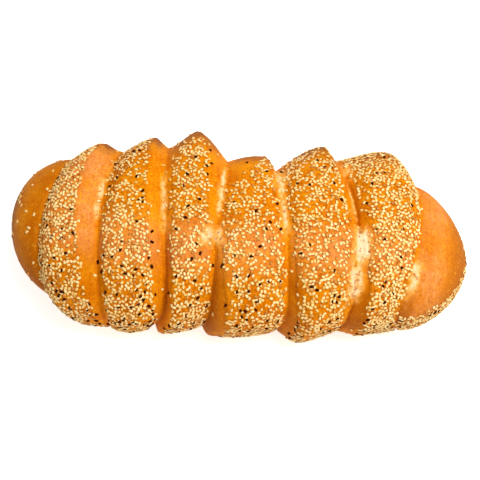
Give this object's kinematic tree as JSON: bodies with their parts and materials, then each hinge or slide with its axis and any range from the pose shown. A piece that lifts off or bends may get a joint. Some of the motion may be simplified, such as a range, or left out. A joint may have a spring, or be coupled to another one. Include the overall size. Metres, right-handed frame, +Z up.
{
  "type": "corek bread loaf",
  "caption": "Long rolled bread loaf with raised seeded bands between bare grooves, plain rounded ends and a flat underside to rest on.",
  "frame": {"origin": "on the resting surface, under the middle of the loaf's box", "axes": "+X along the loaf from its left end to its right end, +Y from its front to its back, +Z up"},
  "size_m": [0.342, 0.1614, 0.0909],
  "materials": {
    "crust": "egg-washed golden crust with sesame and nigella seeds, satin"
  },
  "bodies": {
    "root": {"loaf": "crust"}
  },
  "joints": []
}
